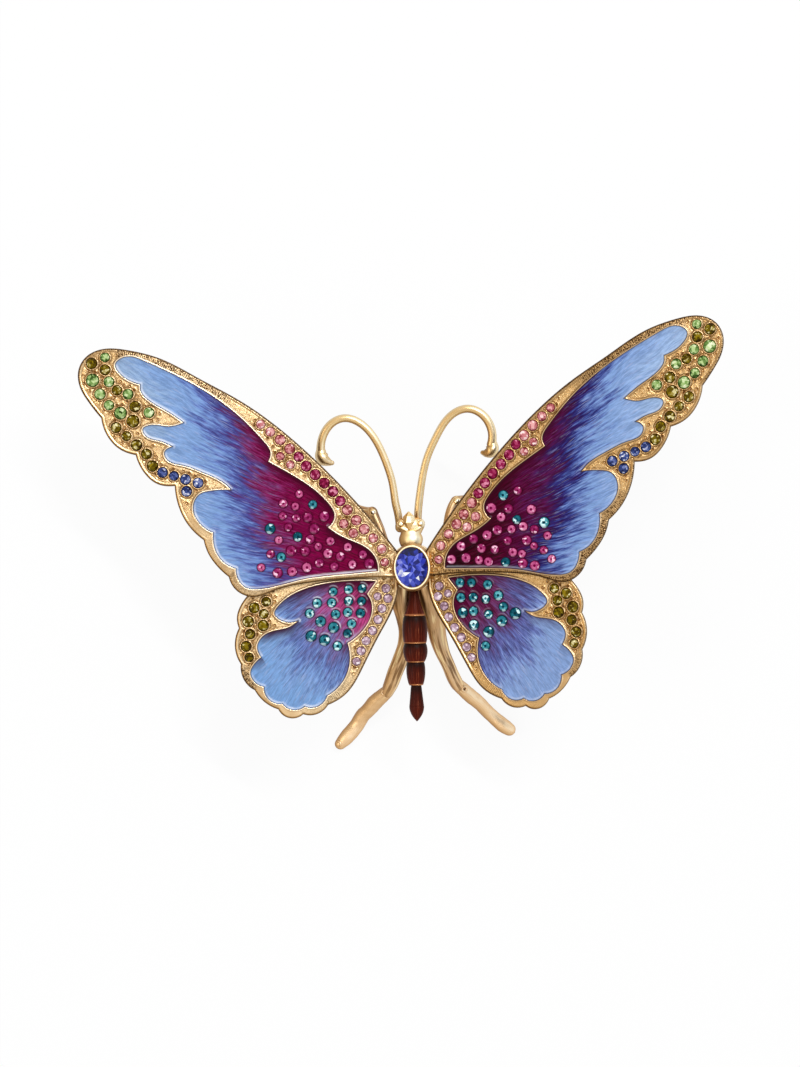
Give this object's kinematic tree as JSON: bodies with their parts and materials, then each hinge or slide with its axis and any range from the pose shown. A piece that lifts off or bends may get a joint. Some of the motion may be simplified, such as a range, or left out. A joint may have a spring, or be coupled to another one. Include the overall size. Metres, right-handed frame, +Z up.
{
  "type": "butterfly figurine",
  "caption": "Gilt metal butterfly figurine standing on slim legs, with enamelled wings edged in cut stones, an oval centre stone and curled antennae.",
  "frame": {"origin": "on the table, under the middle of the figurine's outline seen from above", "axes": "+X to the butterfly's right wing tip, +Y towards its head, +Z up from the table"},
  "size_m": [0.1572, 0.1042, 0.0425],
  "materials": {
    "blue_center_stone": "oval cut stone, deep blue",
    "blue_stone": "round cut stone, blue",
    "brown_enamel": "glossy dark red-brown enamel",
    "gilt_metal": "satin gilt, cast, with hatched rims",
    "green_stone": "round cut stone, light green",
    "lilac_stone": "round cut stone, lilac",
    "olive_stone": "round cut stone, olive green",
    "pink_stone": "round cut stone, pale pink",
    "rose_stone": "round cut stone, rose",
    "ruby_stone": "round cut stone, ruby red",
    "teal_stone": "round cut stone, teal",
    "wing_enamel": "glossy enamel, periwinkle to violet to crimson in fine strokes"
  },
  "bodies": {
    "root": {"abdomen": "gilt_metal", "abdomen_enamel_1": "brown_enamel", "abdomen_enamel_2": "brown_enamel", "abdomen_enamel_3": "brown_enamel", "abdomen_enamel_4": "brown_enamel", "abdomen_enamel_5": "brown_enamel", "abdomen_enamel_6": "brown_enamel", "antenna_left": "gilt_metal", "antenna_right": "gilt_metal", "bezel": "gilt_metal", "center_stone": "blue_center_stone", "collar": "gilt_metal", "eyes": "gilt_metal", "forewing_blue_stones_left": "blue_stone", "forewing_blue_stones_right": "blue_stone", "forewing_edge_pink_stones_left": "pink_stone", "forewing_edge_pink_stones_right": "pink_stone", "forewing_enamel_left": "wing_enamel", "forewing_enamel_right": "wing_enamel", "forewing_green_stones_left": "green_stone", "forewing_green_stones_right": "green_stone", "forewing_left": "gilt_metal", "forewing_olive_stones_left": "olive_stone", "forewing_olive_stones_right": "olive_stone", "forewing_right": "gilt_metal", "forewing_rose_stones_left": "rose_stone", "forewing_rose_stones_right": "rose_stone", "forewing_ruby_stones_left": "ruby_stone", "forewing_ruby_stones_right": "ruby_stone", "forewing_teal_stones_left": "teal_stone", "forewing_teal_stones_right": "teal_stone", "front_leg_left": "gilt_metal", "front_leg_right": "gilt_metal", "head": "gilt_metal", "hind_leg_left": "gilt_metal", "hind_leg_right": "gilt_metal", "hindwing_enamel_left": "wing_enamel", "hindwing_enamel_right": "wing_enamel", "hindwing_left": "gilt_metal", "hindwing_lilac_stones_left": "lilac_stone", "hindwing_lilac_stones_right": "lilac_stone", "hindwing_olive_stones_left": "olive_stone", "hindwing_olive_stones_right": "olive_stone", "hindwing_right": "gilt_metal", "hindwing_teal_stones_left": "teal_stone", "hindwing_teal_stones_right": "teal_stone", "thorax": "gilt_metal"}
  },
  "joints": []
}
